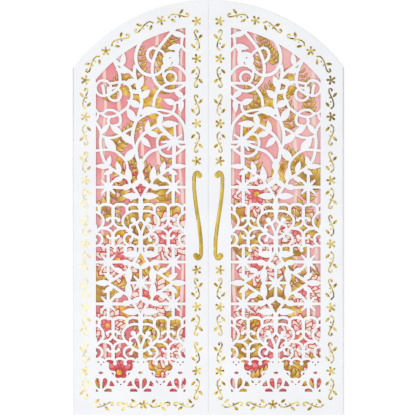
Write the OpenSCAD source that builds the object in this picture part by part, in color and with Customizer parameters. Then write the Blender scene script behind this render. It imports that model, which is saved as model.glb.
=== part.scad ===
// Gatefold greeting card shaped as an arched double gate, closed and lying on its back.
// One white sheet is folded at both sides into two doors with cut lattice windows.
// A printed lining is glued inside the back, and gold foil is stamped on the doors and the lining.

/* [Card] */
// Width of the closed card over its two side folds
card_w = 140; // [120:1:170]
// Height of the card to the crown of its arch
card_h = 214; // [190:1:240]
// Height of the arch above the straight sides
arch_rise = 35; // [25:1:50]
// Thickness of the white sheet
card_t = 0.4; // [0.3:0.05:0.6]
// Gap between the two door edges at the middle
seam_gap = 0.2; // [0.1:0.1:2]
// Air between the lining and the closed doors
door_air = 0.5; // [0.3:0.1:2]

/* [Lining] */
// Thickness of the lining paper
lining_t = 0.2; // [0.1:0.05:0.4]
// White margin of the back left bare around the lining
lining_margin = 1.5; // [1.5:0.5:5]

/* [Windows] */
// Width of the door frame beside the fold
outer_stile = 12; // [9:0.5:15]
// Width of the door frame beside the middle gap, from the middle line
meeting_stile = 11.8; // [10:0.2:16]
// Height of the door frame below the window
bottom_rail = 12; // [10:0.5:16]
// Width of the door frame under the arch
arch_rail = 13; // [11:0.5:16]

/* [Lattice] */
// Width of the slim bars and stems
bar_w = 1.1; // [0.8:0.05:1.6]
// Width of the finest curls
curl_w = 0.9; // [0.7:0.05:1.3]
// Height of the palmette row at the foot
base_h = 17; // [14:0.5:20]
// Height of each row of heart scrolls
scroll_h = 21.5; // [18:0.5:26]
// Height of the star panel between the heart rows
panel_h = 37; // [32:0.5:42]
// How far each cut stays clear of the drawn bars, which leaves them stouter
cut_inset = 0.2; // [0:0.05:0.4]
// Narrowest slit that is cut, closed where bars come nearer
least_cut = 0.4; // [0.2:0.05:0.7]

/* [Foil] */
// Height of the foil above the card
foil_t = 0.06; // [0.04:0.01:0.15]
// Distance from the fold to the middle of the outer foil row
outer_row = 6.5; // [4:0.25:8]
// Distance from the middle line to the inner foil row
inner_row = 5.9; // [4:0.1:8]
// Distance from the foot to the bottom foil row
foot_row = 5.3; // [4:0.1:8]
// Distance from the arch to its foil row
arch_row = 6.4; // [4:0.1:8]
// Length of a leaf sprig
sprig_l = 11; // [8:0.5:13]
// Width of a five-petal flower
flower_d = 5; // [3:0.25:6]
// Clearance between neighbouring motifs
motif_gap = 1.4; // [0.8:0.1:3]
// Length of the leaves on the lining's branches
branch_leaf_l = 7; // [4:0.5:9]

/* [Handles] */
// Length of each handle from end to end
handle_l = 46.5; // [36:0.5:56]
// Width of the handle bar
handle_w = 1.9; // [1.2:0.1:2.5]
// Sideways reach of the S-shaped bar from its middle
handle_reach = 1.8; // [1.2:0.1:3]
// Diameter of the ball at each end
ball_d = 3; // [2.2:0.1:4]
// Height that the handle is raised above the card
handle_t = 0.25; // [0.1:0.05:0.5]
// Distance from the middle line to the handle's middle
handle_x = 5.5; // [4:0.1:8]
// Height of the handle's middle above the card's foot
handle_y = 103; // [85:1:120]

/* [Hidden] */

eps = 0.01;
// Length of the straight pieces that a curve is cut in
curve_step = 1.9;
stack_h = 2 * card_t + lining_t + door_air;
arch_r = (card_w * card_w / 4 + arch_rise * arch_rise) / (2 * arch_rise);
arch_y = card_h - arch_r;
door_z = stack_h - card_t;
fold_x = (card_w - stack_h) / 2;

// Clearances of the foil rows at the corners and at the handles
corner_drop = 4;
corner_gap = 2.4;
corner_turn = 2.6;
handle_gap = 4.9;
// How far the raised middle of a handle stands in from its edge
handle_bevel = 0.35;

win_out = card_w / 2 - outer_stile;
win_w = win_out - meeting_stile;
win_x = -(win_out + meeting_stile) / 2;
win_r = arch_r - arch_rail;
win_h = arch_y + sqrt(win_r * win_r - meeting_stile * meeting_stile) - bottom_rail;

// Sizes of the window that the lattice points below are drawn for
drawn_w = 46.5;
drawn_crown = 97;
drawn_h = 188;
scroll_pitch = 28.7;
panel_axis = 17.7;
crown_foot = base_h + scroll_h + panel_h + scroll_h;
$fit = [1, 1];
$from = 0;

white = [0.95, 0.955, 0.965];
pink = [0.92, 0.58, 0.6];
gold = [0.8, 0.62, 0.2];

// Curves and strokes

// Point of the drawing carried to the real window, with widths left as they are
function fitted(p) = [p.x * $fit.x, (p.y - $from) * $fit.y];

// Smooth curve through a few points
function between(a, b, c, d, t) =
    (2 * b + (c - a) * t + (2 * a - 5 * b + 4 * c - d) * t * t
     + (3 * b - a - 3 * c + d) * t * t * t) / 2;
function curve(p) = len(p) < 3 ? p : [
    for (i = [0 : len(p) - 2])
        let (n = max(1, round(norm(p[i + 1] - p[i]) / curve_step)))
        for (k = [0 : n - 1])
            between(p[max(i - 1, 0)], p[i], p[i + 1], p[min(i + 2, len(p) - 1)], k / n),
    p[len(p) - 1]];

// One edge of a stroke along the points, with its width running from w[0] to w[1]
function edge(p, w, side) = [
    for (i = [0 : len(p) - 1])
        let (a = p[max(i - 1, 0)], b = p[min(i + 1, len(p) - 1)], d = (b - a) / norm(b - a))
        p[i] + side * (w[0] + (w[1] - w[0]) * i / (len(p) - 1)) / 2 * [-d.y, d.x]];
function back(p) = [for (i = [len(p) - 1 : -1 : 0]) p[i]];
function row_points(pitch, first, last, low, high) = [
    for (k = [first : last])
        each [[k * pitch, low], [(k + 0.2) * pitch, low + 0.75 * (high - low)],
              [(k + 0.5) * pitch, high], [(k + 0.8) * pitch, low + 0.75 * (high - low)]]];

module stroke(p, w) polygon(concat(edge(p, w, -1), back(edge(p, w, 1))));

module stem(points, w = bar_w, end_w = undef)
    stroke([for (p = curve(points)) fitted(p)], [w, is_undef(end_w) ? w : end_w]);

module bar(a, b, w = bar_w, end_w = undef) stem([a, b], w, end_w);

// Leaf from its base to its tip, fullest at the given share of its length
module blade(a, b, w, full = 0.45) {
    d = b - a;
    n = [-d.y, d.x] / norm(d);
    shares = norm(d) < 6.5 ? [0.28, 0.68] : [0.22, 0.5, 0.78];
    rim = [for (t = shares) [t, sin(180 * pow(t, ln(0.5) / ln(full))) * w / 2]];
    polygon(concat([a], [for (q = rim) a + d * q[0] + n * q[1]],
                   [b], back([for (q = rim) a + d * q[0] - n * q[1]])));
}

module leaf(base, tip, w) blade(fitted(base), fitted(tip), w);

module knob(p, r) translate(fitted(p)) circle(r, $fn = 8);

module loop(p, r, w = bar_w) translate(fitted(p)) difference() {
    circle(r + w / 2, $fn = 18);
    circle(r - w / 2, $fn = 18);
}

module both_sides() {
    children();
    mirror([1, 0]) children();
}

// Places a band of the lattice by its foot and stretches it to the window
module band(foot, tall, from = 0) {
    $fit = [win_w / drawn_w, tall];
    $from = from;
    translate([0, foot]) children();
}

// Lattice

module star(p) {
    knob(p, 2.1);
    for (sx = [-1, 1], sy = [-1, 1])
        bar(p + [sx, sy], p + [3.5 * sx, 3.5 * sy], 1.3, 0.5);
}

module heart() {
    bar([0, 12.8], [0, 22], 2.1);
    bar([0, -3], [0, 5], 2.1);
    both_sides() {
        stem([[0, 17.6], [-3.5, 17.9], [-7, 16.7], [-9.2, 13.8], [-9.1, 11], [-7.8, 8.9]], curl_w);
        stem([[-7.8, 9.1], [-5, 6.3], [-2.5, 4.6], [0, 3.4]], 1.2);
        stem([[-5.2, 6.2], [-7.2, 5.8], [-8.6, 4], [-8.4, 2], [-6.5, 0]], curl_w);
        stem([[-3.8, 5.6], [-4.3, 4.2], [-5, 3]], curl_w);
        knob([-5.1, 2.9], 0.8);
        stem([[0, 4], [-0.8, 7.5], [-2.3, 11.2]], 1);
        stem([[-2.3, 11.2], [-1, 12.6], [0, 13.4]], 1);
        stem([[-1.8, 10.6], [-3.6, 11.2], [-5.4, 10.3], [-5.6, 8.6], [-4.3, 7.8]], curl_w);
        bar([-2.2, 11.4], [-3.8, 13], 1.2);
        knob([-3.9, 13.2], 1.15);
        bar([-7.2, 16.2], [-7.2, 20.4], 1.3);
    }
}

module fleur() {
    bar([0, 11.4], [0, 20.4], 1.3);
    bar([0, -0.6], [0, 5.6], 1.4);
    both_sides() {
        stem([[0, 13.9], [1.7, 14.2], [3, 13.4]], curl_w);
        stem([[0, 12.2], [0.9, 10.8], [2.7, 9.5], [7, 9]], curl_w);
        stem([[0, 4.8], [0.8, 7], [2.6, 8.4], [7, 9]], curl_w);
        stem([[0, 4], [1.7, 3.8], [2.9, 4.6]], curl_w);
        knob([2.9, 13.3], 0.8);
        knob([2.8, 4.7], 0.7);
    }
}

// Rows of small arches that close a row of hearts at its top and foot
function top_arches() = row_points(scroll_pitch / 4, -5, 4, 19.9, 21.3);
function foot_arches() =
    [for (p = row_points(scroll_pitch * 3 / 16, -6, 6, -1, 0.1)) p - [scroll_pitch * 3 / 32, 0]];

module heart_row() {
    for (x = [-scroll_pitch, 0, scroll_pitch])
        translate([x * $fit.x, 0]) heart();
    for (x = [-scroll_pitch / 2, scroll_pitch / 2])
        translate([x * $fit.x, 0]) fleur();
    stroke([for (p = top_arches()) fitted(p)], [bar_w, bar_w]);
    stroke([for (p = foot_arches()) fitted(p)], [curl_w, curl_w]);
    both_sides()
        for (x = [8.05, 13.4]) {
            bar([x, -0.5], [x, -2.3], curl_w);
            knob([x, -2.4], 0.8);
        }
}

// One quarter of the star panel, drawn from the panel's centre
module star_quarter() {
    leaf([-0.6, -14.9], [-9.4, -14.8], 3.3);
    stem([[-4.4, -9.8], [-2.9, -11.9], [-1.3, -14.8], [0, -17.2]]);
    leaf([-4.8, -10.6], [0.6, -7.2], 2.6);
    leaf([-10.4, -11], [-4, -9.9], 2.7);
    leaf([-6, -8.4], [-6.6, 0.8], 3.3);
    stem([[-4.2, -10.2], [-5.7, -8.6], [-6.2, -6.8]]);
    stem([[-7.4, -5.8], [-10, -4.6], [-12.8, -2.7], [-16.8, -0.2]]);
    leaf([-9, -5.3], [-14.4, -7.6], 2.5);
    leaf([-14.2, -1.7], [-19, -5], 2.6);
    leaf([-15.6, 0], [-24, 0], 2.8);
    star([-16.9, -10.8]);
    bar([-17, -10.8], [-24, -10.8], 1.4, 0.9);
    bar([-17, -10.8], [-9.4, -10.9], 1.4, bar_w);
    bar([-16.9, -11], [-16.9, -4], 1.4, bar_w);
    bar([-16.9, -11], [-16.9, -19], 1.4, bar_w);
    bar([-15.6, -9.4], [-13.6, -7.2]);
}

module star_panel() {
    for (s = [0, 1])
        mirror([0, s]) both_sides() star_quarter();
    star([0, 0]);
    bar([0, -8], [0, 8]);
    bar([-6.4, 0], [6.4, 0]);
    bar([0, -19], [0, -16.5], 2);
    bar([0, 16.5], [0, 20], 2);
    both_sides() {
        bar([-2.7, 14.5], [-2.7, 19.2]);
        bar([-8, 15], [-8, 19.2], 1.4);
    }
}

// Foot of the crown: stars, a diamond and the leafy spine that the vines grow from
diamond_side = [[0, 99], [-1.3, 101.4], [-2.9, 104.3], [-4.4, 106.4]];

module crown_foot_half() {
    leaf([-0.6, 100.9], [-9.2, 101.2], 3.2);
    stem(back(diamond_side));
    leaf([-4.8, 105.6], [0.8, 110], 2.6);
    leaf([-10.4, 105.2], [-4, 106.3], 2.7);
    stem([[-4.2, 106], [-5.7, 107.6], [-6.2, 109.4]]);
    leaf([-6, 108], [-6.9, 116.4], 3.2);
    stem([[-7.4, 110.4], [-10, 111.8], [-12.8, 113.8], [-16.6, 116]]);
    leaf([-9, 110.9], [-14.4, 108.6], 2.4);
    leaf([-10.8, 112.6], [-12.4, 118.8], 2.7);
    leaf([-14.2, 114.6], [-19, 112.2], 2.5);
    leaf([-15.4, 116.4], [-24, 116.5], 2.4);
    star([-16.9, 105.8]);
    bar([-17, 105.8], [-24, 105.6], 1.4, 0.9);
    bar([-17, 105.8], [-9.4, 105.4], 1.4, bar_w);
    bar([-16.9, 106], [-16.9, 112.6], 1.4, bar_w);
    bar([-16.9, 106], [-16.9, 96], 1.4, bar_w);
    bar([-15.6, 107.2], [-13.6, 109]);
}

module crown_foot_band() {
    both_sides() crown_foot_half();
    stem([[0, 95], [0, 98], [0, 100]], 3.2, 1.6);
    leaf([0, 107.5], [0, 114.2], 3.6);
    bar([0, 112], [0, 116], 2);
    leaf([0, 113.6], [0, 120.4], 3.6);
}

// Vines on the outer side of the window
module outer_vines() {
    stem([[-16.8, 116.2], [-19, 119.4], [-20.4, 123.5], [-21, 129], [-20.6, 133.4], [-22, 137],
          [-24, 139.5]]);
    leaf([-17.4, 116.4], [-15.8, 121.6], 2.4);
    stem([[-6.8, 115.6], [-7.4, 118.6], [-9.8, 121.6], [-14, 124.6], [-18.5, 125], [-24, 124.4]], curl_w);
    leaf([-13, 123.6], [-18.8, 131.8], 4);
    stem([[-20.4, 132.2], [-17.5, 131.2], [-13.6, 131.4], [-9.4, 133]], curl_w);
    leaf([-21, 133], [-16.2, 138.6], 2.4);
    leaf([-15.8, 138], [-9, 132], 2.8);
    stem([[-16.4, 137.8], [-16.9, 140], [-16, 142.4]]);
    stem([[-14.4, 137.2], [-11.2, 138.2], [-10.5, 141], [-11.4, 143.6]]);
    stem([[-24, 146.4], [-22, 143.9], [-19.8, 143.8], [-18, 145.2], [-15.4, 145.5], [-12.8, 144.6],
          [-11.2, 143.2]], curl_w);
    stem([[-20.4, 143.6], [-17.4, 142], [-14, 142.3], [-11.2, 143.4]], curl_w);
    stem([[-22, 143.8], [-22.6, 141.4], [-24, 139.6]], curl_w);
    stem([[-11.6, 143.2], [-9, 145.2], [-6.8, 147], [-5.6, 149.8]]);
    leaf([0, 147.2], [-7, 150.6], 3.3);
    stem([[-5.8, 149.6], [-4.6, 152], [-4.7, 154.6], [-6, 158], [-8, 159.8], [-11, 159.8]]);
    leaf([-6, 155.4], [0.4, 154.4], 2);
    leaf([-2.2, 161], [-9, 158.6], 3);
    loop([-13.6, 153.6], 3.3, curl_w);
    loop([-19.4, 156.8], 4, curl_w);
    stem([[-16, 153.6], [-12.2, 156.2], [-11.2, 158], [-10.7, 161], [-11.2, 165], [-12.8, 168.8],
          [-15, 172.6]]);
    stem([[-16.4, 153.4], [-17, 155.4], [-16.6, 157.4]]);
    stem([[-20, 158.4], [-19.4, 156.4], [-18.9, 152.8]]);
    bar([-15.8, 159], [-10.8, 160], curl_w);
    leaf([-12.8, 166.3], [-5.2, 165.3], 2.7);
    stem([[-14.4, 172], [-9.6, 168], [-5.1, 164.7], [-2.8, 162]], 1.2);
    leaf([-9.5, 168.4], [-8.8, 174.8], 2.6);
}

// Main stem and the crescent that carries it to the arch
main_stem = [[-0.7, 118], [-2, 121.4], [-2.4, 125], [-4, 128], [-4.3, 132], [-3.4, 137], [-1.6, 141.4],
             [-0.2, 146], [0.5, 149], [0.1, 153], [-1, 157], [-2.6, 161], [-3.3, 165], [-2.8, 168.6]];
crescent_top = [[-2.5, 174], [-1.4, 178], [1, 181.8], [4, 184.6]];

module main_vine() {
    stem(main_stem, 1.4);
    leaf([-8.4, 119], [-2.4, 126], 3.8);
    leaf([-10.4, 133.4], [-3, 127.6], 3.4);
    leaf([-2.8, 139.6], [-7.2, 146.6], 3.6);
    stem([[-9.6, 133], [-7, 134.8], [-3.8, 136.4]], curl_w);
    leaf([-0.2, 151.6], [4.8, 155.8], 3.2);
    leaf([-2, 156.2], [1.3, 162.9], 3.4);
    stem(concat(back(crescent_top), [[-2.3, 170], [-0.9, 166.8], [2, 164.2], [6.2, 163.2]]), 1.3);
    stem([[20, 189.6], [16.4, 186], [12.6, 181.6], [9, 176.8], [6.9, 172], [6, 167.6], [6.3, 163.2],
          [8, 159.6], [10.7, 156.8]], 1.2);
    stem([[8.8, 176.6], [6.6, 177.8], [4.4, 176.6], [3.5, 174], [4.3, 171.6], [6.4, 170]]);
}

// Small rose, with two slits between its petals
module rose(p) translate(fitted(p)) difference() {
    circle(3.4, $fn = 14);
    for (q = [[1.2, -1.1], [0.2, 1.4]])
        translate(q) circle(0.8, $fn = 5);
}

// Rose, ring and leaves beside the meeting stile
module inner_vines() {
    leaf([15.4, 185.8], [24, 183.2], 2.6);
    stem([[22, 184.4], [21.4, 181], [21.4, 178.4], [24, 175.4]]);
    leaf([21.8, 178.6], [14.2, 177.4], 3);
    stem([[9.4, 176.6], [11.2, 175.6], [12.6, 174]], curl_w);
    leaf([11.8, 173.8], [20, 174.4], 2.6);
    stem([[19.6, 177.6], [18.6, 175], [19, 171.6], [18.4, 168.4]], 1.8);
    leaf([10.4, 166.2], [16.4, 171], 3);
    rose([15, 171.2]);
    stem([[6.2, 163.2], [9, 164.2], [11.6, 166.2], [14.6, 168.4], [18, 168.6], [21.4, 166.8], [24, 163.4]]);
    loop([15.4, 162.3], 3, curl_w);
    stem([[11.8, 166], [11.9, 163], [13, 160.6], [15, 159.2]], curl_w);
    stem([[10.6, 156.8], [13, 158.5], [16.4, 159.3], [24, 159.4]]);
    stem([[10.6, 156.8], [13.6, 155.4], [17.4, 155.5], [20.6, 157], [24, 159.4]]);
    stem([[10.6, 156.8], [8.6, 154.4], [7.1, 151], [6.8, 147.4]]);
    leaf([17.6, 155.8], [22.6, 151.6], 2.6);
    stem([[24, 153.4], [21.6, 151], [19.4, 149.4], [17.8, 149.2], [17.6, 146.4], [16.6, 144.2]]);
    leaf([18.2, 148.6], [12, 151], 2.8);
    leaf([21.2, 151.2], [20.8, 144.4], 2.6);
    leaf([-0.6, 143.6], [8.2, 146.4], 4.2);
    stem([[6.6, 145.6], [11, 145.5], [16.8, 144.2]], curl_w);
    stem([[-2, 140], [0.6, 141.8], [4, 143.6], [8, 144.4], [11, 142.9], [14, 142.6], [16.8, 144]], curl_w);
}

// Large round scroll with its leaves and sunburst
module round_scroll() {
    stem([[16.4, 144.2], [19.4, 141.8], [22, 138.4], [23.2, 134], [23.4, 129]], 1.2);
    stem([[-2.4, 125], [-1.7, 128.4], [0.4, 131.8], [3.4, 134.6], [8.4, 137.6], [10.4, 138.2]], 1.2);
    leaf([10.8, 143.6], [9, 136.6], 2.8);
    stem([[9.4, 138.4], [11, 135.8], [13.6, 133.2], [17.2, 130]], 1.8);
    leaf([10.6, 138.2], [19.6, 138.4], 3.2);
    leaf([3.2, 133.4], [4, 140], 2.6);
    leaf([3, 134.4], [10.2, 131.6], 2.7);
    leaf([0, 131.6], [5, 126.4], 2.8);
    stem([[9, 131.8], [11, 132.9], [13.8, 132.8]], curl_w);
    stem([[9.6, 131.8], [8.7, 129.6], [8.7, 127.4], [9.6, 125.4]], curl_w);
    bar([17.6, 138], [18, 130], curl_w);
    knob([17.4, 129.6], 2.2);
    bar([17.4, 129.2], [10.8, 128.9], 1.6, 0.7);
    stem([[17, 129], [13.4, 127.2], [9.4, 125.8]], 1.3);
    bar([17, 129], [14, 124.8], 1.2, 0.6);
    bar([17.4, 129], [17.2, 115.8], 1.6);
    bar([18, 130], [21.6, 132.8], 1.3, 0.6);
    bar([18, 129.2], [24, 128.8], 1.6, bar_w);
    stem([[18.4, 128.6], [20.6, 126.4], [24, 127]]);
    stem([[0.6, 118.4], [2.8, 121.8], [5.6, 124.2], [9.6, 125.6]], 1.2);
    stem([[9.4, 125.8], [10.4, 123.6], [13, 121.9], [16.4, 121.8], [19.8, 123.8], [24, 127.4]]);
}

module crown() {
    crown_foot_band();
    outer_vines();
    main_vine();
    inner_vines();
    round_scroll();
}

// Palmettes and fans cut through a solid foot
module palmette() {
    both_sides() {
        polygon([[0.5, 1], [2.4, 2.6], [3.4, 4.6], [3.1, 6.6], [2.2, 7.4], [0.9, 6.8], [0.4, 4]]);
        polygon([[3.9, 2.9], [6, 2.6], [7.4, 2.8], [5.6, 5.6], [4.8, 6]]);
        polygon([[0.8, -1], [1.8, 1.2], [4, 1.9], [5.6, 1.4], [5.8, -1]]);
        polygon([[4.8, 10], [6.4, 8.2], [6.8, 8.6], [6.6, 10]]);
        translate([1.4, 15.3]) circle(0.7, $fn = 6);
    }
    blade([-1.6, 9.8], [1.6, 9.8], 1.9);
    translate([0, 13.9]) circle(0.65, $fn = 6);
}

module fan() {
    half = [[0, 7.1], [1.6, 6.8], [2.9, 7.3], [3.2, 8.4], [2.7, 9.6], [3.3, 10.6], [5, 10.7],
            [6.1, 11.6], [6.4, 13.2], [6.2, 14.8], [7.8, 15.4], [7.4, 18]];
    polygon(concat(half, back([for (p = half) [-p.x, p.y]])));
    both_sides() blade([1, 4.2], [2.6, 6.2], 1.3);
    translate([0, 3.7]) circle(0.65, $fn = 6);
}

module foot_cuts() {
    for (x = [-20.6, 0, 20.6])
        translate([x * $fit.x, 0]) palmette();
    for (x = [-10.3, 10.3])
        translate([x * $fit.x, 0]) fan();
}

module lattice() {
    band(0, base_h / 17)
        difference() {
            translate([-win_w, -1]) square([2 * win_w, base_h + 0.2]);
            scale([1, $fit.y]) foot_cuts();
        }
    for (y = [base_h, base_h + scroll_h + panel_h])
        band(y, scroll_h / 21.5) heart_row();
    band(base_h + scroll_h + panel_axis * panel_h / 37, panel_h / 37) star_panel();
    band(crown_foot, (win_h - crown_foot) / (drawn_h - drawn_crown), drawn_crown) crown();
}

// Window of the left door, with x from the card's middle line and y from its foot
module window() intersection() {
    translate([-win_out, bottom_rail]) square([win_w, card_h]);
    union() {
        translate([0, arch_y]) circle(win_r, $fn = 180);
        translate([-card_w / 2, 0]) square([card_w / 2, arch_y]);
    }
}

// Line of a row of small arches in the real window
function row_line(points, foot) =
    [for (p = points) [win_x + p.x * win_w / drawn_w, bottom_rail + foot + p.y * scroll_h / 21.5]];
function level_line(y) = [[-card_w, y], [card_w, y]];

// Lines inside the bars, which part the openings into groups
foot_line = row_line(foot_arches(), base_h);
star_low = row_line(top_arches(), base_h);
star_high = row_line(foot_arches(), base_h + scroll_h + panel_h);
crown_low = row_line(top_arches(), base_h + scroll_h + panel_h);
spine_line = [
    for (p = concat(diamond_side, [[0, 109.4]], main_stem, crescent_top))
        [win_x + p.x * win_w / drawn_w,
         bottom_rail + crown_foot + (p.y - drawn_crown) * (win_h - crown_foot) / (drawn_h - drawn_crown)]];
outer_low = [for (p = crown_low) if (p.x < win_x + eps) p];
inner_low = [for (p = crown_low) if (p.x > win_x - eps) p];

// Openings of the left window inside one group's outline
module openings(group_outline)
    offset(delta = least_cut / 2) offset(delta = -least_cut / 2 - cut_inset)
        difference() {
            intersection() {
                offset(delta = cut_inset) window();
                polygon(group_outline);
            }
            translate([win_x, bottom_rail]) lattice();
        }

// Sheet and lining

// Arched outline, drawn in by an inset
module arched(inset = 0) intersection() {
    translate([-card_w / 2 + inset, inset]) square([card_w - 2 * inset, card_h]);
    union() {
        translate([0, arch_y]) circle(arch_r - inset, $fn = 180);
        translate([-card_w / 2, 0]) square([card_w, arch_y]);
    }
}

module slot(w, h) {
    translate([-(w - h) / 2, 0]) square([w - h, h]);
    for (s = [-1, 1])
        translate([s * (w - h) / 2, h / 2]) circle(d = h, $fn = 48);
}

// Section across the closed card: back, two round folds and the doors
module folded_section() difference() {
    slot(card_w, stack_h);
    translate([0, card_t]) slot(card_w - 2 * card_t, stack_h - 2 * card_t);
}

// Sets the card's middle over the origin
module placed(z = 0) translate([0, -card_h / 2, z]) children();

// Left door seen from the front, from the fold to the middle gap
module door_face() difference() {
    intersection() {
        arched();
        translate([-fold_x, 0]) square([fold_x - seam_gap / 2, card_h]);
    }
    openings(concat(level_line(0), back(foot_line)));
    openings(concat(foot_line, back(star_low)));
    openings(concat(star_low, back(star_high)));
    openings(concat(star_high, back(crown_low)));
    openings(concat(outer_low, spine_line, [[win_x, card_h], [-card_w, card_h]]));
    openings(concat(back(inner_low), spine_line, [[win_x, card_h], [card_w, card_h]]));
}

// Back panel with the two folds, cut to the arch
module back_and_folds() difference() {
    intersection() {
        translate([0, card_h, 0]) rotate([90, 0, 0]) linear_extrude(card_h) folded_section();
        linear_extrude(stack_h) arched();
    }
    translate([-fold_x, -eps, stack_h / 2]) cube([2 * fold_x, card_h + 2 * eps, stack_h]);
}

module left_door() translate([0, 0, door_z]) linear_extrude(card_t) door_face();

module card_sheet() color(white) placed() {
    back_and_folds();
    left_door();
    mirror([1, 0, 0]) left_door();
}

module lining() color(pink) placed(card_t) linear_extrude(lining_t) arched(lining_margin);

// Foil

// Pointed leaf between two arcs
module lens(a, b, w) {
    l = norm(b - a);
    r = (l * l + w * w) / (4 * w);
    translate((a + b) / 2) rotate(atan2(b.y - a.y, b.x - a.x)) intersection() {
        translate([0, r - w / 2]) circle(r, $fn = 48);
        translate([0, w / 2 - r]) circle(r, $fn = 48);
    }
}

module dot(p, r) translate(p) circle(r, $fn = 24);

// Five petals, slim at the middle and round at their ends
module flower() {
    petal_w = 0.24 * flower_d;
    reach = (flower_d - petal_w) / 2;
    for (a = [105 : 72 : 393])
        let (tip = reach * [cos(a), sin(a)]) {
            stroke([[0, 0], tip], [0.35 * petal_w, petal_w]);
            dot(tip, petal_w / 2);
        }
}

// Sprig along y: an S-shaped stem with a curl at its top, two loose leaves and two berries
module sprig() scale(sprig_l / 11) {
    stroke([[0.4, 4.1], [0.3, 4.9], [-0.3, 5.2], [-1, 4.9], [-1.3, 4.1], [-0.9, 2.8], [0.6, -0.2],
            [1.3, -2.4], [1.2, -4.1], [0.1, -5.1]], [0.7, 0.7]);
    dot([0.3, 4.2], 0.55);
    dot([0.1, -5.1], 0.5);
    lens([0.9, 0.7], [3, 3], 1.4);
    lens([-0.8, -4.3], [-2.9, -2], 1.4);
    dot([-0.6, 0.4], 0.45);
    dot([-0.2, -1.8], 0.4);
}

// Places along a run of motifs, F for a flower, S for a sprig and Z for its mirror image
function motif_step(a, b) =
    a == "F" || b == "F" ? flower_d / 2 + sprig_l / 2 + motif_gap : sprig_l + 2 * motif_gap;
function motif_places(run, i = 0, at = 0) = i == len(run) - 1 ? [at]
    : concat([at], motif_places(run, i + 1, at + motif_step(run[i], run[i + 1])));

module motif(kind)
    if (kind == "F") flower();
    else if (kind == "S") sprig();
    else mirror([0, 1]) sprig();

module straight_run(run, a, b, flip = 0) {
    places = motif_places(run);
    d = b - a;
    for (i = [0 : len(run) - 1])
        translate(a + d * places[i] / places[len(run) - 1])
            rotate(atan2(d.y, d.x) - 90) mirror([flip, 0]) motif(run[i]);
}

module arch_run(run, r, from, to) {
    places = motif_places(run);
    for (i = [1 : len(run) - 2])
        translate([0, arch_y])
            rotate(from + (to - from) * places[i] / places[len(run) - 1])
                translate([0, r]) rotate(90) motif(run[i]);
}

// Foil border round the left door
module border() {
    ox = -(card_w / 2 - outer_row);
    ix = -inner_row;
    row_r = arch_r - arch_row;
    outer_top = arch_y + sqrt(row_r * row_r - ox * ox) - corner_drop;
    inner_top = arch_y + sqrt(row_r * row_r - ix * ix) - corner_drop;
    run_foot = foot_row + sprig_l / 2 + corner_gap;
    foot_from = ox + sprig_l / 2 + 1.6 * corner_gap;
    foot_to = ix - sprig_l / 2 - 0.5 * corner_gap;
    straight_run("ZFSZFSZFSZFSZFSF", [ox, run_foot], [ox, outer_top], 1);
    straight_run("FZFSZFSF", [ix, handle_y + handle_l / 2 + handle_gap], [ix, inner_top]);
    straight_run("ZFSZFSF", [ix, run_foot], [ix, handle_y - handle_l / 2 - handle_gap]);
    straight_run("SZFSZ", [foot_from, foot_row], [foot_to, foot_row]);
    arch_run("FZFSZFSF", row_r, asin(inner_row / row_r), asin(-ox / row_r) + corner_turn);
}

module border_foil() color(gold) placed(stack_h)
    linear_extrude(foil_t) border();

module left_border_foil() border_foil();

module right_border_foil() mirror([1, 0, 0]) border_foil();

// S-shaped handle on the left door, with the same hook and ball at both ends
module handle_shape() translate([-handle_x, handle_y]) {
    k = handle_l / 46.5;
    s = handle_reach;
    half = [[0.44 * s, 20.9 * k], [0.33 * s, 21.9 * k], [-0.22 * s, 22.3 * k],
            [-0.83 * s, 21 * k], [-s, 17 * k], [-0.78 * s, 10 * k]];
    stroke(curve(concat(half, back(-half))), [handle_w, handle_w]);
    for (p = [half[0], -half[0]])
        dot(p, ball_d / 2);
}

module handle_foil() color(gold) placed(stack_h) {
    linear_extrude(handle_t / 2) handle_shape();
    linear_extrude(handle_t) offset(delta = -handle_bevel) handle_shape();
}

module left_handle_foil() handle_foil();

module right_handle_foil() mirror([1, 0, 0]) handle_foil();

// Leafy branch of the lining's print, with leaves set alternately along it
module branch(points, leaf_l) {
    p = [for (q = curve(points)) [q.x * card_w / 140, q.y * card_h / 214]];
    stroke(p, [0.9, 0.6]);
    for (i = [1 : len(p) - 1])
        let (d = p[i] - p[i - 1], a = atan2(d.y, d.x) + (i % 2 == 0 ? 48 : -48))
        lens(p[i], p[i] + leaf_l * [cos(a), sin(a)], 0.42 * leaf_l);
}

module lining_foil() color(gold) placed(card_t + lining_t)
    linear_extrude(foil_t)
        for (s = [0, 1])
            mirror([s, 0]) {
                branch([[-16, 60], [-26, 72], [-36, 78], [-48, 92]], branch_leaf_l);
                branch([[-54, 40], [-44, 52], [-34, 56], [-22, 70]], branch_leaf_l);
                branch([[-15, 100], [-24, 108], [-30, 120], [-46, 128]], branch_leaf_l);
                branch([[-18, 142], [-27, 150], [-30, 162], [-42, 170]], branch_leaf_l);
                branch([[-52, 14], [-42, 22], [-30, 24], [-17, 34]], branch_leaf_l);
            }

card_sheet();
lining();
left_border_foil();
right_border_foil();
left_handle_foil();
right_handle_foil();
lining_foil();
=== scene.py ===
import math

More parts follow.
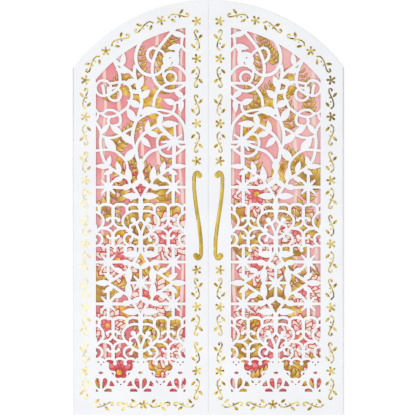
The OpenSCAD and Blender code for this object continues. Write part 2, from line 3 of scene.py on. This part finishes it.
import bpy
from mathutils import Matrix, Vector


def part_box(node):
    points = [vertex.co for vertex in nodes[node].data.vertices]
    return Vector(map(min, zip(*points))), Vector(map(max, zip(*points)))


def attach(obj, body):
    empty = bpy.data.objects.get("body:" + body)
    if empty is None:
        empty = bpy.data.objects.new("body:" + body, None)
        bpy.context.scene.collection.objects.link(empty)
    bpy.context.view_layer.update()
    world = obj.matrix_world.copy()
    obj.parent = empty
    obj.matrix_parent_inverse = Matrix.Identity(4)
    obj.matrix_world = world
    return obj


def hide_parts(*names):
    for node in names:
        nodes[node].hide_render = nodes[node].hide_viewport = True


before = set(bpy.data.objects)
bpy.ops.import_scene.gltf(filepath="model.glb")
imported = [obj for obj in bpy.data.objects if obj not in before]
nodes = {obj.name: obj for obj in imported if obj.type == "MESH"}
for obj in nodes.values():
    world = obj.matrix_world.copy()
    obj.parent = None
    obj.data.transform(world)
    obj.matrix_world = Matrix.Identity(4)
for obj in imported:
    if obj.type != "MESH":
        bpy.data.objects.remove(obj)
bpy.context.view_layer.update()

# Sizes, in metres
MM = 0.001
CARD_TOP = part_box("card_sheet")[1].z
CARD_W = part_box("card_sheet")[1].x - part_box("card_sheet")[0].x
CARD_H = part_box("card_sheet")[1].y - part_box("card_sheet")[0].y
LINING_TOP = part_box("lining")[1].z
FOIL_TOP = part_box("lining_foil")[1].z
INK = 0.0016 * MM
FOOT = -CARD_H / 2


def srgb(red, green, blue):
    """A colour given as 0 to 255 on screen, as the shader takes it."""
    def linear(v):
        v /= 255
        return v / 12.92 if v <= 0.04045 else ((v + 0.055) / 1.055) ** 2.4
    return linear(red), linear(green), linear(blue), 1


def grey(value):
    """A share from 0 to 1 as a colour, for ramps that steer a mix."""
    return value, value, value, 1


CUT_EDGE = srgb(226, 219, 210)
CORAL = srgb(224, 104, 110)
RED = srgb(200, 56, 68)
DEEP_RED = srgb(170, 36, 48)
CREAM = srgb(244, 226, 214)
BLUSH = srgb(243, 200, 192)
GOLD = srgb(216, 190, 90)
DARK_GOLD = srgb(162, 132, 42)
PALE_GOLD = srgb(240, 228, 146)
OLIVE_GOLD = srgb(210, 182, 84)
PAINTED_HIGHLIGHT_GOLD = srgb(250, 244, 204)
# Painted highlight colour for the left side of the border foil
BROWN_GOLD = srgb(106, 82, 24)
# Brown gold is a random tone of the foil and also the painted shade on the border's upper right
LEAF_SHADE = srgb(172, 122, 38)
LEAF_GOLD = srgb(216, 172, 68)
LEAF_TIP = srgb(242, 214, 124)


# Selecting and joining

def drop_selection():
    if bpy.context.object and bpy.context.object.mode != "OBJECT":
        bpy.ops.object.mode_set(mode="OBJECT")
    bpy.ops.object.select_all(action="DESELECT")


def pick(*pieces):
    drop_selection()
    for piece in pieces:
        piece.select_set(True)
    bpy.context.view_layer.objects.active = pieces[0]


def settle(piece):
    """Puts the piece's place into its mesh and leaves its object at the origin."""
    pick(piece)
    bpy.ops.object.transform_apply(location=True, rotation=True, scale=True)
    bpy.ops.object.mode_set(mode="EDIT")
    bpy.ops.mesh.select_all(action="SELECT")
    bpy.ops.mesh.normals_make_consistent(inside=False)
    bpy.ops.object.mode_set(mode="OBJECT")
    return piece


def copy_at(master, x, y, z, turn, stretch):
    twin = master.copy()
    twin.data = master.data.copy()
    bpy.context.collection.objects.link(twin)
    twin.location = (x, y, z)
    twin.rotation_euler = (0, 0, turn)
    twin.scale = (stretch[0], stretch[1], 1)
    return twin


def join(name, parts):
    pick(*parts)
    bpy.ops.object.join()
    piece = bpy.context.object
    piece.name = piece.data.name = name
    return settle(piece)


def finish_piece(piece, material):
    piece.data.materials.clear()
    piece.data.materials.append(material)
    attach(piece, "root")


# Node groups and materials

def nodes_of(tree):
    return tree.nodes, tree.links


def mottle_group():
    """Two sizes of soft noise on object coordinates: broad clouds and fine paper grain."""
    tree = bpy.data.node_groups.new("paper_mottle", "ShaderNodeTree")
    face = tree.interface
    for name, value in (("Cloud Scale", 60.0), ("Grain Scale", 2200.0)):
        socket = face.new_socket(name, in_out="INPUT", socket_type="NodeSocketFloat")
        socket.default_value = value
    for name in ("Clouds", "Grain"):
        face.new_socket(name, in_out="OUTPUT", socket_type="NodeSocketFloat")
    made, links = nodes_of(tree)
    ins, outs = made.new("NodeGroupInput"), made.new("NodeGroupOutput")
    place = made.new("ShaderNodeTexCoord")
    for name, detail in (("Cloud", 3.0), ("Grain", 6.0)):
        noise = made.new("ShaderNodeTexNoise")
        noise.inputs["Detail"].default_value = detail
        noise.inputs["Roughness"].default_value = 0.55
        links.new(place.outputs["Object"], noise.inputs["Vector"])
        links.new(ins.outputs[name + " Scale"], noise.inputs["Scale"])
        links.new(noise.outputs["Fac"], outs.inputs["Clouds" if name == "Cloud" else "Grain"])
    return tree


MOTTLE = mottle_group()


class Finish:
    """A material under construction, with the calls that the finishes below share."""

    def __init__(self, name, roughness, metallic=0.0):
        self.material = bpy.data.materials.new(name)
        self.material.use_nodes = True
        self.made, self.links = nodes_of(self.material.node_tree)
        self.shader = self.made["Principled BSDF"]
        self.shader.inputs["Roughness"].default_value = roughness
        self.shader.inputs["Metallic"].default_value = metallic

    def add(self, kind, **values):
        node = self.made.new(kind)
        for key, value in values.items():
            if hasattr(node, key):
                setattr(node, key, value)
            else:
                node.inputs[key].default_value = value
        return node

    def link(self, out, into):
        self.links.new(out, into)

    def mottle(self, cloud_scale, grain_scale):
        node = self.made.new("ShaderNodeGroup")
        node.node_tree = MOTTLE
        node.inputs["Cloud Scale"].default_value = cloud_scale
        node.inputs["Grain Scale"].default_value = grain_scale
        return node

    def ramp(self, source, *stops):
        node = self.made.new("ShaderNodeValToRGB")
        elements = node.color_ramp.elements
        while len(elements) < len(stops):
            elements.new(0.5)
        for element, (at, colour) in zip(elements, stops):
            element.position = at
            element.color = colour
        self.link(source, node.inputs["Fac"])
        return node.outputs["Color"]

    def mix(self, factor, a, b, blend="MIX"):
        node = self.made.new("ShaderNodeMix")
        node.data_type = "RGBA"
        node.blend_type = blend
        for value, socket in ((factor, node.inputs[0]), (a, node.inputs[6]), (b, node.inputs[7])):
            if hasattr(value, "is_output"):
                self.link(value, socket)
            else:
                socket.default_value = value
        return node.outputs[2]

    def math(self, operation, a, b):
        node = self.made.new("ShaderNodeMath")
        node.operation = operation
        for value, socket in ((a, node.inputs[0]), (b, node.inputs[1])):
            if hasattr(value, "is_output"):
                self.link(value, socket)
            else:
                socket.default_value = value
        return node.outputs[0]

    def bump(self, height, distance, strength):
        node = self.made.new("ShaderNodeBump")
        node.inputs["Distance"].default_value = distance
        node.inputs["Strength"].default_value = strength
        self.link(height, node.inputs["Height"])
        self.link(node.outputs["Normal"], self.shader.inputs["Normal"])

    def colour(self, source):
        self.link(source, self.shader.inputs["Base Color"])


def card_finish():
    """Smooth white card with a faint grain, warmer on its cut edges."""
    f = Finish("white_card_stock", 0.62)
    mottle = f.mottle(45, 2600)
    face = f.ramp(mottle.outputs["Clouds"], (0.3, srgb(240, 241, 245)), (0.7, srgb(246, 247, 249)))
    place = f.add("ShaderNodeTexCoord")
    split = f.add("ShaderNodeSeparateXYZ")
    f.link(place.outputs["Normal"], split.inputs[0])
    upright = f.math("ABSOLUTE", split.outputs["Z"], 0.0)
    f.colour(f.mix(upright, CUT_EDGE, face))
    f.bump(mottle.outputs["Grain"], 0.02 * MM, 0.25)
    return f.material


def lining_finish():
    """Pink printed paper: watercolour clouds that pale to the right and deepen to coral at the foot."""
    f = Finish("pink_print", 0.55)
    mottle = f.mottle(38, 2000)
    wash = f.ramp(mottle.outputs["Clouds"],
                  (0.3, srgb(228, 128, 134)), (0.5, srgb(238, 156, 160)), (0.72, srgb(244, 184, 184)))
    place = f.add("ShaderNodeTexCoord")
    split = f.add("ShaderNodeSeparateXYZ")
    f.link(place.outputs["Object"], split.inputs[0])
    height = f.math("DIVIDE", f.math("SUBTRACT", split.outputs["Y"], FOOT), CARD_H)
    deep = f.ramp(height, (0.05, grey(1)), (0.3, grey(0.15)), (0.5, grey(0)))
    side = f.math("ADD", f.math("DIVIDE", split.outputs["X"], CARD_W), 0.5)
    pale = f.ramp(side, (0.5, grey(0)), (0.92, grey(0.6)))
    f.colour(f.mix(deep, f.mix(pale, wash, srgb(247, 204, 202)), srgb(212, 92, 100)))
    f.bump(mottle.outputs["Grain"], 0.015 * MM, 0.2)
    return f.material


def ink_finish(name, base, middle, tip):
    """Printed petals, leaves and canes: the colour runs from the base to the tip, with a wash over it."""
    f = Finish(name, 0.55)
    mottle = f.mottle(160, 2000)
    along = f.add("ShaderNodeAttribute", attribute_name="along")
    shifted = f.math("ADD", along.outputs["Fac"],
                     f.math("MULTIPLY", f.math("SUBTRACT", mottle.outputs["Clouds"], 0.5), 0.6))
    f.colour(f.ramp(shifted, (0.12, base), (0.5, middle), (0.92, tip)))
    f.bump(mottle.outputs["Grain"], 0.015 * MM, 0.2)
    return f.material


def foil_finish(name, roughness, cloud_scale, painted_light_strength, *tones):
    """Stamped gold foil, uneven where the die pressed. The strength given before the tones sets a painted
    highlight that makes it paler to the left and painted shade that makes it browner at the upper right.
    """
    f = Finish(name, roughness, 1.0)
    mottle = f.mottle(cloud_scale, 1500)
    gold = f.ramp(mottle.outputs["Clouds"], *tones)
    place = f.add("ShaderNodeTexCoord")
    split = f.add("ShaderNodeSeparateXYZ")
    f.link(place.outputs["Object"], split.inputs[0])
    # Painted highlight: straw colour towards the left, in a band that leans with height and is weaker near
    # the foot
    lean = f.math("MULTIPLY", f.math("MAXIMUM", split.outputs["Y"], 0.0), 0.35)
    across = f.math("ADD", split.outputs["X"], lean)
    side = f.math("ADD", f.math("DIVIDE", across, CARD_W), 0.5)
    height = f.math("ADD", f.math("DIVIDE", split.outputs["Y"], CARD_H), 0.5)
    above = f.ramp(height, (0.03, grey(0.45)), (0.3, grey(1)))
    left = f.ramp(side, (0.02, grey(painted_light_strength)), (0.22, grey(0)))
    painted_highlight = f.math("MULTIPLY", left, above)
    # Painted shade: the upper part of the right-hand border is browner
    right = f.ramp(f.math("DIVIDE", split.outputs["X"], CARD_W), (0.415, grey(0)), (0.44, grey(1)))
    up = f.ramp(f.math("DIVIDE", split.outputs["Y"], CARD_H), (0.15, grey(0)), (0.23, grey(painted_light_strength)))
    painted_shade = f.math("MULTIPLY", right, up)
    f.colour(f.mix(painted_shade, f.mix(painted_highlight, gold, PAINTED_HIGHLIGHT_GOLD), BROWN_GOLD))
    rough = f.add("ShaderNodeMapRange")
    rough.inputs["To Min"].default_value = roughness - 0.08
    rough.inputs["To Max"].default_value = roughness + 0.1
    f.link(mottle.outputs["Grain"], rough.inputs["Value"])
    f.link(rough.outputs["Result"], f.shader.inputs["Roughness"])
    f.bump(mottle.outputs["Clouds"], 0.2 * MM, 0.25)
    return f.material


def dress(node, material):
    mesh = nodes[node].data
    mesh.materials.clear()
    mesh.materials.append(material)


# The border foil carries the painted highlight and painted shade at 0.75; the handle and print foils carry
# none
foil = foil_finish("gold_border_foil", 0.34, 420, 0.75,
                   (0.3, BROWN_GOLD), (0.42, DARK_GOLD), (0.5, GOLD), (0.68, PALE_GOLD))
handle_gold = foil_finish("gold_handle_foil", 0.45, 90, 0.0,
                          (0.25, DARK_GOLD), (0.5, OLIVE_GOLD), (0.75, GOLD))
print_gold = foil_finish("gold_print_foil", 0.4, 230, 0.0,
                         (0.34, LEAF_SHADE), (0.5, LEAF_GOLD), (0.66, LEAF_TIP))
white_card = card_finish()
dress("card_sheet", white_card)
dress("lining", lining_finish())
dress("left_border_foil", foil)
dress("right_border_foil", foil)
dress("lining_foil", print_gold)


# Card sheet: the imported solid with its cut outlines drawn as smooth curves

# The lining lies on the back panel, so its underside gives the sheet's thickness
CARD_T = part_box("lining")[0].z
FOLD_X = (CARD_W - CARD_TOP) / 2
# Sharper turns than this stay corners, and longer stretches, in millimetres, stay straight
CORNER = math.radians(52)
STRAIGHT = 4
LEAST_EDGE = 0.15 * MM
# Points this near the middle line, in millimetres, are on the door edges,
# and this share of the gap shows between the closed doors
SEAM_REACH = 0.2
SEAM = 0.35


def select_faces(piece, wanted):
    """Selects the faces whose middle and normal the test accepts, and goes to edit mode."""
    pick(piece)
    bpy.ops.object.mode_set(mode="EDIT")
    bpy.ops.mesh.select_mode(type="FACE")
    bpy.ops.mesh.select_all(action="DESELECT")
    bpy.ops.object.mode_set(mode="OBJECT")
    for face in piece.data.polygons:
        face.select = wanted(face.center, face.normal)
    bpy.ops.object.mode_set(mode="EDIT")


def round_off(spline):
    """Bends an outline smoothly through its points, in millimetres. Corners and straight stretches stay."""
    places = [point.co / MM for point in spline.bezier_points]
    for place in places:
        if abs(place.x) < SEAM_REACH:
            place.x *= SEAM
    for i, point in enumerate(spline.bezier_points):
        point.co = places[i]
        before = places[i] - places[i - 1]
        after = places[(i + 1) % len(places)] - places[i]
        into, out = before.length, after.length
        point.handle_left_type = point.handle_right_type = "FREE"
        if before.angle(after) > CORNER or min(into, out) > STRAIGHT:
            point.handle_left = places[i] - before / 3
            point.handle_right = places[i] + after / 3
            continue
        if max(into, out) > STRAIGHT:
            heading = (before if into > out else after).normalized()
        else:
            heading = (before * (out / into) + after * (into / out)).normalized()
        point.handle_left = places[i] - heading * into / 3
        point.handle_right = places[i] + heading * out / 3


def fill_group():
    """Geometry nodes that fill flat outlines and leave the inner ones open."""
    tree = bpy.data.node_groups.new("fill_outlines", "GeometryNodeTree")
    for way in ("INPUT", "OUTPUT"):
        tree.interface.new_socket("Geometry", in_out=way, socket_type="NodeSocketGeometry")
    made, links = nodes_of(tree)
    ins, outs = made.new("NodeGroupInput"), made.new("NodeGroupOutput")
    fill = made.new("GeometryNodeFillCurve")
    links.new(ins.outputs[0], fill.inputs[0])
    links.new(fill.outputs[0], outs.inputs[0])
    return tree


def smooth_sheet():
    pick(nodes["card_sheet"])
    bpy.ops.object.duplicate()
    sheet = bpy.context.object
    bpy.ops.object.mode_set(mode="EDIT")
    bpy.ops.mesh.select_all(action="SELECT")
    bpy.ops.mesh.remove_doubles(threshold=0.002 * MM)
    select_faces(sheet, lambda c, n: n.z > 0.9 and c.z > CARD_TOP - 0.01 * MM and abs(c.x) < FOLD_X)
    bpy.ops.mesh.region_to_loop()
    bpy.ops.mesh.duplicate()
    bpy.ops.mesh.separate(type="SELECTED")
    bpy.ops.object.mode_set(mode="OBJECT")
    doors = [piece for piece in bpy.context.selected_objects if piece != sheet][0]
    select_faces(sheet, lambda c, n: c.z > CARD_TOP / 2 and abs(c.x) < FOLD_X + 0.001 * MM)
    bpy.ops.mesh.delete(type="FACE")
    bpy.ops.mesh.select_all(action="SELECT")
    bpy.ops.mesh.fill_holes(sides=0)
    pick(doors)
    bpy.ops.object.mode_set(mode="EDIT")
    bpy.ops.mesh.select_all(action="SELECT")
    bpy.ops.mesh.remove_doubles(threshold=LEAST_EDGE)
    bpy.ops.object.mode_set(mode="OBJECT")
    bpy.ops.object.convert(target="CURVE")
    doors = bpy.context.object
    bpy.ops.object.mode_set(mode="EDIT")
    bpy.ops.curve.select_all(action="SELECT")
    bpy.ops.curve.spline_type_set(type="BEZIER")
    bpy.ops.object.mode_set(mode="OBJECT")
    for spline in doors.data.splines:
        round_off(spline)
    doors.data.dimensions = "2D"
    doors.data.fill_mode = "NONE"
    doors.data.resolution_u = 4
    doors.modifiers.new("fill", "NODES").node_group = fill_group()
    doors.scale = (MM, MM, MM)
    doors.location.z = CARD_TOP
    bpy.ops.object.convert(target="MESH")
    doors = bpy.context.object
    bpy.ops.object.transform_apply(location=True, rotation=True, scale=True)
    bpy.ops.object.mode_set(mode="EDIT")
    bpy.ops.mesh.select_all(action="SELECT")
    bpy.ops.mesh.extrude_region_move(TRANSFORM_OT_translate={"value": (0, 0, -CARD_T)})
    bpy.ops.object.mode_set(mode="OBJECT")
    piece = join("folded_card", [doors, sheet])
    finish_piece(piece, white_card)
    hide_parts("card_sheet")


smooth_sheet()


# Print on the lining

def mark_along(piece, length):
    """Stores how far along its length each point of a petal lies."""
    values = piece.data.attributes.new("along", "FLOAT", "POINT")
    for i, v in enumerate(piece.data.vertices):
        values.data[i].value = min(max(v.co.x / length, 0), 1)


def petal(name, pinch, point):
    """A flat petal of unit length along X, drawn in at its base and pointed at its tip."""
    drop_selection()
    bpy.ops.mesh.primitive_circle_add(vertices=18, radius=0.5, fill_type="NGON")
    piece = bpy.context.object
    piece.name = name
    bpy.ops.object.mode_set(mode="EDIT")
    bpy.ops.mesh.select_all(action="SELECT")
    bpy.ops.transform.translate(value=(0.5, 0, 0))
    bpy.ops.object.mode_set(mode="OBJECT")
    for v in piece.data.vertices:
        if v.co.x < 0.5:
            v.co.y *= 1 - pinch * (0.5 - v.co.x) * 2
        else:
            v.co.y *= 1 - point * (v.co.x - 0.5) * 2
    bpy.ops.object.mode_set(mode="EDIT")
    bpy.ops.mesh.select_all(action="SELECT")
    bpy.ops.mesh.extrude_region_move(TRANSFORM_OT_translate={"value": (0, 0, -4 * INK)})
    bpy.ops.object.mode_set(mode="OBJECT")
    mark_along(piece, 1.0)
    return piece


round_petal = petal("round_petal", 0.45, 0.35)
leaf_shape = petal("leaf_shape", 0.5, 0.85)

# Blossoms: x, y from the card's foot and radius in millimetres, first turn in degrees, colour order
BLOSSOMS = [
    (-38, 121, 11, 10, "coral"), (-21, 92, 13, 40, "cream"), (-47, 80, 12, 25, "cream"),
    (-30, 60, 13, 0, "cream"), (-52, 46, 10, 55, "cream"), (-22, 36, 12, 15, "cream"),
    (-46, 22, 12, 35, "red"), (-20, 14, 9, 5, "coral"), (25, 114, 12, 20, "cream"),
    (47, 96, 11, 50, "cream"), (27, 78, 12, 5, "cream"), (50, 66, 11, 30, "cream"),
    (25, 48, 12, 45, "cream"), (48, 40, 12, 10, "cream"), (28, 22, 12, 30, "red"),
    (53, 16, 9, 0, "coral"),
]
# Rings of a blossom: share of its radius that the petals reach, petal count, width as a share of the length
RINGS = [(1.0, 13, 0.4), (0.8, 12, 0.4), (0.6, 10, 0.44), (0.38, 7, 0.54)]
RING_INKS = {
    "cream": ("cream", "cream", "blush", "coral"),
    "coral": ("blush", "coral", "coral", "red"),
    "red": ("coral", "red", "coral", "red"),
}
OUTLINE = 0.8
# Fronds: x, y of the foot and length in millimetres, heading and bend in degrees, longest leaf
FRONDS = [
    (-15, 92, 44, 118, -40, 11), (-38, 92, 34, 72, 35, 11), (-54, 58, 30, 95, -40, 11),
    (-17, 24, 30, 140, -30, 11), (-34, 38, 26, 40, 30, 11), (-56, 8, 24, 60, 20, 11),
    (-30, 66, 26, 150, 30, 11), (-50, 138, 26, 35, 25, 7), (16, 98, 44, 62, 40, 11),
    (46, 82, 38, 95, -35, 11), (56, 116, 26, 115, 30, 11), (16, 32, 32, 45, 30, 11),
    (40, 50, 30, 135, -30, 11), (54, 22, 26, 125, -20, 11), (24, 62, 26, 20, 30, 11),
    (20, 150, 26, 70, -25, 7), (-21, 166, 30, 105, -35, 8), (-40, 166, 26, 60, 40, 7),
    (-52, 162, 18, 75, -30, 5), (-28, 184, 20, 40, 20, 6), (21, 166, 32, 60, 40, 6),
    (44, 148, 34, 115, -35, 6), (52, 156, 24, 85, 30, 5), (36, 182, 18, 130, -20, 5),
]
# Fronds that lie over the blossoms
OVER_FRONDS = [
    (-56, 102, 36, 45, 30, 9), (-20, 116, 30, 150, -30, 8), (-40, 30, 30, 20, 40, 8),
    (-14, 44, 26, 160, 30, 8), (-30, 84, 26, 120, 30, 7), (14, 84, 36, 40, 30, 9),
    (58, 94, 30, 140, 30, 8), (36, 58, 28, 60, -40, 8), (56, 10, 28, 150, -30, 8),
    (22, 30, 22, 80, 30, 7), (14, 14, 26, 15, 30, 8),
]
FROND_PAIRS = 9
LEAF_SPREAD = math.radians(48)
LEAF_SHARE = 0.42
LEAF_OUTLINE = 0.5
# Layers of ink above the lining's foil: fronds, two turns of blossoms, then the fronds over them.
# Each shape of a turn is lifted by a fraction of a layer more, so that no two that overlap share a height.
FROND_LAYER = 4
BLOSSOM_LAYER = 45
BLOSSOM_LAYERS = 88
OVER_LAYER = 222
FROND_LIFT = 0.16
BLOSSOM_LIFT = 0.25

inks = {
    "cream": ink_finish("cream_print", BLUSH, CREAM, CREAM),
    "blush": ink_finish("blush_print", CORAL, srgb(240, 170, 166), CREAM),
    "coral": ink_finish("coral_print", RED, CORAL, srgb(240, 150, 148)),
    "red": ink_finish("red_print", DEEP_RED, RED, CORAL),
    "line": ink_finish("red_line_print", DEEP_RED, RED, RED),
    "gold": ink_finish("gold_leaf_print", LEAF_SHADE, LEAF_GOLD, LEAF_TIP),
    "brown": ink_finish("brown_line_print", srgb(84, 54, 18), srgb(118, 76, 22), srgb(150, 100, 32)),
}
petals = {ink: [] for ink in inks}
hearts = []


def lay(ink, shape, x, y, height, turn, length, width):
    petals[ink].append(copy_at(shape, x * MM, FOOT + y * MM, height, turn, (length * MM, width * MM)))


def blossom(x, y, radius, turn, order, height):
    """Rings of petals, each over a slightly larger red one that shows as its outline."""
    for ring, (reach, count, width) in enumerate(RINGS):
        length = radius * reach
        for k in range(count):
            angle = math.radians(turn + 360 * (k + 0.5 * ring) / count)
            lay("line", round_petal, x, y, height, angle, length + OUTLINE, length * width + OUTLINE)
            lay(RING_INKS[order][ring], round_petal, x, y, height + INK, angle, length, length * width)
            height += 2 * INK
    drop_selection()
    bpy.ops.mesh.primitive_cylinder_add(
        vertices=16, radius=0.12 * radius * MM, depth=4 * INK, location=(x * MM, FOOT + y * MM, height))
    hearts.append(bpy.context.object)


def frond(x, y, length, heading, bend, leaf, height):
    """Slender gold leaves in pairs along a bending rib, each over a brown one."""
    for k in range(FROND_PAIRS):
        share = (k + 0.5) / FROND_PAIRS
        along = math.radians(heading + bend * share)
        reach = leaf * (1 - 0.6 * share)
        for side in (-1, 1):
            turn = along + side * LEAF_SPREAD
            width = LEAF_SHARE * reach
            lay("brown", leaf_shape, x, y, height, turn, reach + LEAF_OUTLINE, width + LEAF_OUTLINE)
            lay("gold", leaf_shape, x, y, height + INK, turn, reach, width)
            height += 2 * INK
        x += length / FROND_PAIRS * math.cos(along)
        y += length / FROND_PAIRS * math.sin(along)


for number, shape in enumerate(FRONDS):
    frond(*shape, FOIL_TOP + (FROND_LAYER + FROND_LIFT * number) * INK)
for number, shape in enumerate(OVER_FRONDS):
    frond(*shape, FOIL_TOP + (OVER_LAYER + FROND_LIFT * number) * INK)
for number, shape in enumerate(BLOSSOMS):
    layer = BLOSSOM_LAYER + BLOSSOM_LAYERS * (number % 2) + BLOSSOM_LIFT * (number // 2)
    blossom(*shape, FOIL_TOP + layer * INK)

for ink, parts in petals.items():
    if parts:
        finish_piece(join(ink + "_petals", parts), inks[ink])
finish_piece(join("blossom_hearts", hearts), print_gold)

# Pale canes of a garden trellis behind the blossoms, of uneven width as if brushed
CANE_W = 1.5
CANE_XS = (-54, -46.5, -35, -26, -14, 0, 13, 24.5, 36, 45, 55)
CANE_STEPS = 48
CANE_FOOT = 4
CANE_TOP = 209
# How fast the canes shorten under the arch, per square millimetre from the middle
CANE_FALL = 0.0062


def cane(x, number):
    drop_selection()
    bpy.ops.mesh.primitive_grid_add(x_subdivisions=1, y_subdivisions=CANE_STEPS, size=2)
    piece = bpy.context.object
    top = CANE_TOP - CANE_FALL * x * x
    for v in piece.data.vertices:
        side, share = v.co.x, (v.co.y + 1) / 2
        y = CANE_FOOT + (top - CANE_FOOT) * share
        sway = 0.7 * math.sin(0.045 * y + number) + 0.3 * math.sin(0.17 * y + 2 * number)
        half = CANE_W * (0.5 + 0.16 * math.sin(0.23 * y + 3 * number + side))
        v.co = ((x + sway + side * half) * MM, FOOT + y * MM, LINING_TOP + 4 * INK)
    mark = piece.data.attributes.new("along", "FLOAT", "POINT")
    for i in range(len(piece.data.vertices)):
        mark.data[i].value = 0.55
    return piece


canes = join("trellis_canes", [cane(x, number) for number, x in enumerate(CANE_XS)])
pick(canes)
bpy.ops.object.mode_set(mode="EDIT")
bpy.ops.mesh.select_all(action="SELECT")
bpy.ops.mesh.extrude_region_move(TRANSFORM_OT_translate={"value": (0, 0, -3 * INK)})
bpy.ops.mesh.normals_make_consistent(inside=False)
bpy.ops.object.mode_set(mode="OBJECT")
finish_piece(canes, ink_finish("cane_print", BLUSH, srgb(243, 216, 206), CREAM))

for master in (round_petal, leaf_shape):
    bpy.data.objects.remove(master)


# Handles: the rounded form of the raised foil

# Upper half of the bar's middle line from its ball, in millimetres, drawn for a handle DRAWN_L long
HALF_BAR = [(0.8, 20.9), (0.6, 21.9), (-0.4, 22.3), (-1.5, 21), (-1.8, 17), (-1.4, 10)]
DRAWN_L = 46.5 * MM
BAR_R = 0.95 * MM
BALL_R = 1.5 * MM


def handle(name, node, side):
    low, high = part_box(node)
    middle = (low + high) / 2
    k = (high.y - low.y) / DRAWN_L
    path = HALF_BAR + [(-x, -y) for x, y in reversed(HALF_BAR)]
    drop_selection()
    bpy.ops.curve.primitive_nurbs_path_add()
    curve = bpy.context.object
    curve.data.splines.clear()
    spline = curve.data.splines.new("BEZIER")
    spline.bezier_points.add(len(path) - 1)
    for point, (x, y) in zip(spline.bezier_points, path):
        point.co = (side * x * MM, y * k * MM, 0)
        point.handle_left_type = point.handle_right_type = "AUTO"
    curve.data.resolution_u = 6
    curve.data.bevel_depth = BAR_R
    curve.data.bevel_resolution = 4
    curve.data.use_fill_caps = True
    bpy.ops.object.convert(target="MESH")
    bar = bpy.context.object
    balls = []
    for x, y in (path[0], path[-1]):
        drop_selection()
        bpy.ops.mesh.primitive_uv_sphere_add(
            segments=24, ring_count=12, radius=BALL_R, location=(side * x * MM, y * k * MM, 0))
        balls.append(bpy.context.object)
    for ball in balls:
        pick(bar)
        union = bar.modifiers.new("ball", "BOOLEAN")
        union.operation = "UNION"
        union.object = ball
        bpy.ops.object.modifier_apply(modifier=union.name)
        bpy.data.objects.remove(ball)
    pick(bar)
    bpy.ops.object.mode_set(mode="EDIT")
    bpy.ops.mesh.select_all(action="SELECT")
    bpy.ops.transform.resize(value=(1, 1, (high.z - low.z) / BALL_R), center_override=(0, 0, 0))
    bpy.ops.transform.translate(value=(middle.x, middle.y, low.z))
    bpy.ops.mesh.bisect(plane_co=(0, 0, low.z), plane_no=(0, 0, 1), clear_inner=True, use_fill=True)
    bpy.ops.object.mode_set(mode="OBJECT")
    bar.name = bar.data.name = name
    settle(bar)
    pick(bar)
    bpy.ops.object.shade_smooth_by_angle(angle=math.radians(50))
    finish_piece(bar, handle_gold)
    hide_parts(node)


handle("left_handle", "left_handle_foil", 1)
handle("right_handle", "right_handle_foil", -1)


# Floor, light and camera

def floor():
    drop_selection()
    bpy.ops.mesh.primitive_plane_add(size=8, location=(0, 0, -0.05 * MM))
    ground = bpy.context.object
    ground.name = "floor"
    f = Finish("white_floor", 0.9)
    f.shader.inputs["Base Color"].default_value = srgb(245, 245, 246)
    f.shader.inputs["Specular IOR Level"].default_value = 0.0
    f.shader.inputs["Emission Color"].default_value = (1, 1, 1, 1)
    rays = f.add("ShaderNodeLightPath")
    seen = f.math("MAXIMUM", rays.outputs["Is Camera Ray"], rays.outputs["Is Glossy Ray"])
    f.link(f.math("MULTIPLY", seen, 0.2), f.shader.inputs["Emission Strength"])
    ground.data.materials.append(f.material)


def lamp(name, place, size, power):
    drop_selection()
    bpy.ops.object.light_add(type="AREA", location=place)
    light = bpy.context.object
    light.name = name
    light.data.shape = "SQUARE"
    light.data.size = size
    light.data.energy = power
    light.rotation_euler = (-light.location).to_track_quat("-Z", "Y").to_euler()
    light.visible_camera = False


floor()
lamp("left_softbox", (-0.55, -0.35, 1.1), 0.8, 4.6)
lamp("right_softbox", (0.7, 0.5, 1.2), 0.6, 1.3)
world = bpy.data.worlds.new("studio")
bpy.context.scene.world = world
world.use_nodes = True
world.node_tree.nodes["Background"].inputs["Color"].default_value = (1, 1, 1, 1)
world.node_tree.nodes["Background"].inputs["Strength"].default_value = 0.74

# The photo's frame is square and shows 214.9 mm at the card's front
FRAME_W = 214.9 * MM
CAMERA_Z = 1.2
drop_selection()
bpy.ops.object.camera_add(location=(-0.13 * MM, -0.1 * MM, CAMERA_Z), rotation=(0, 0, 0))
camera = bpy.context.object
camera.data.lens = camera.data.sensor_width * (CAMERA_Z - CARD_TOP) / FRAME_W
bpy.context.scene.camera = camera
bpy.context.scene.view_settings.view_transform = "Standard"
